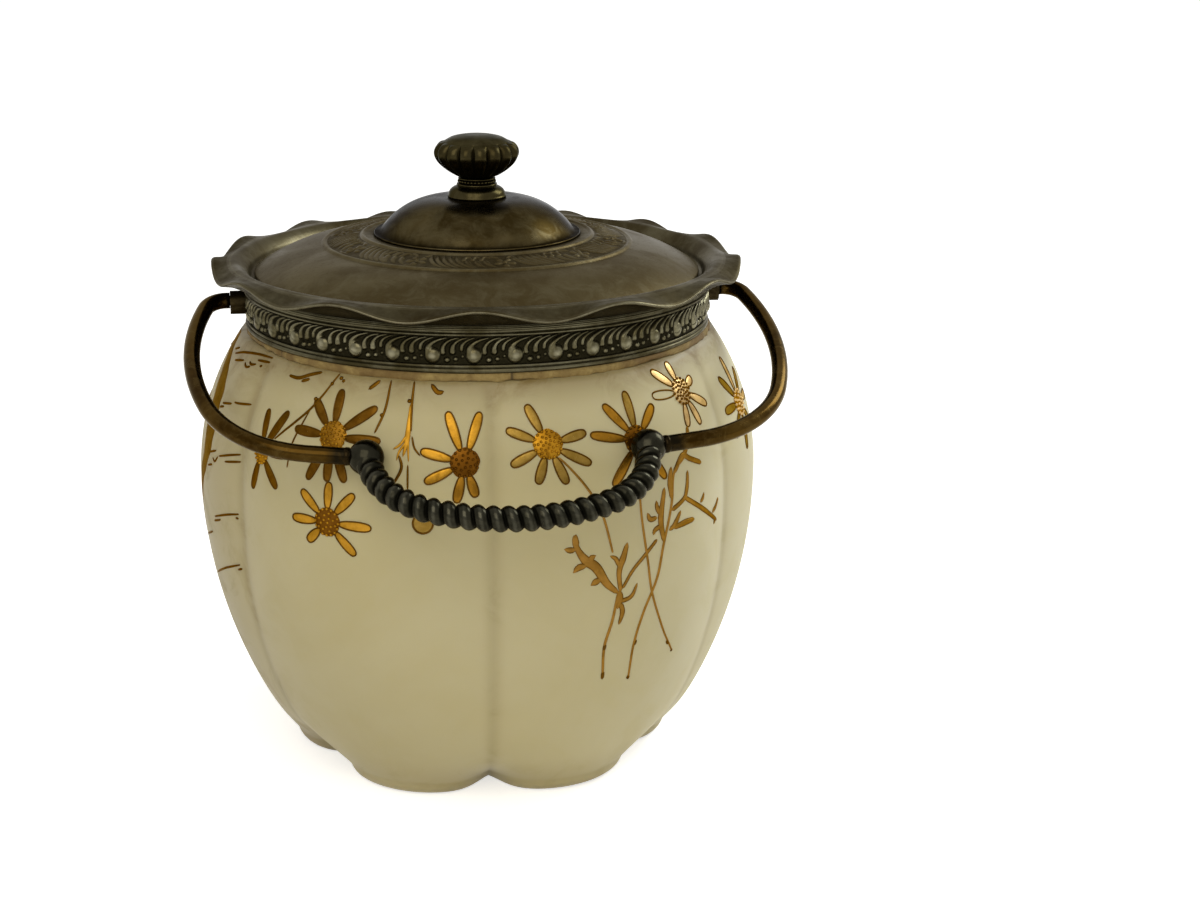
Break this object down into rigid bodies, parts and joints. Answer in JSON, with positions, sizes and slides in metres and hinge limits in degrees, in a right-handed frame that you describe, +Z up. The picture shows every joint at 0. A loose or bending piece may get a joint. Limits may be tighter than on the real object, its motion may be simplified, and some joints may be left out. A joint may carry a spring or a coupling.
{
  "type": "biscuit jar",
  "caption": "Melon-lobed opal glass biscuit jar with a tarnished plated collar, scalloped rim, lift-off lid with a fluted finial, and a swing bail with a twisted grip.",
  "frame": {"origin": "centre of the bowl's flat base, on the surface that the jar stands on", "axes": "+Z up, X along the bail's hinge line, and the bail hangs on the -Y side"},
  "size_m": [0.1706, 0.1854, 0.1835],
  "materials": {
    "opal_glass": "satin, opaque ivory opal glass with gilt decoration",
    "plaster": "rough tan plaster",
    "collar_plate": "tarnished silver plate, satin",
    "gallery_plate": "tarnished silver plate, cast relief with dark recesses",
    "rim_plate": "tarnished silver plate, satin",
    "ear_plate": "heavily tarnished silver plate",
    "lid_plate": "tarnished silver plate, satin",
    "finial_plate": "tarnished silver plate, satin",
    "grip_plate": "blackened silver plate",
    "bail_wire": "tarnished plated brass wire",
    "brass_fittings": "dull brass"
  },
  "bodies": {
    "jar": {"glass_bowl": "opal_glass", "plaster_ring": "plaster", "collar_sleeve": "collar_plate", "foot_bead": "collar_plate", "gallery_band": "gallery_plate", "collar_moulding": "collar_plate", "scalloped_rim": "rim_plate", "left_ear": "ear_plate", "right_ear": "ear_plate"},
    "lid": {"lid_plate": "lid_plate", "lid_dome": "lid_plate", "lid_skirt": "lid_plate", "finial_stem": "finial_plate", "finial_knob": "finial_plate", "finial_washer": "brass_fittings", "finial_nut": "brass_fittings"},
    "bail": {"left_wire": "bail_wire", "right_wire": "bail_wire", "left_knuckle": "grip_plate", "right_knuckle": "grip_plate", "twisted_grip": "grip_plate"}
  },
  "joints": [
    {"name": "lid_lift", "type": "slide", "parent": "jar", "child": "lid", "axis": [0, 0, 1], "range_m": [0, 0.035]},
    {"name": "bail_swing", "type": "hinge", "parent": "jar", "child": "bail", "pos_m": [0, 0, 0.1365], "axis": [-1, 0, 0], "range_deg": [0, 220]}
  ]
}
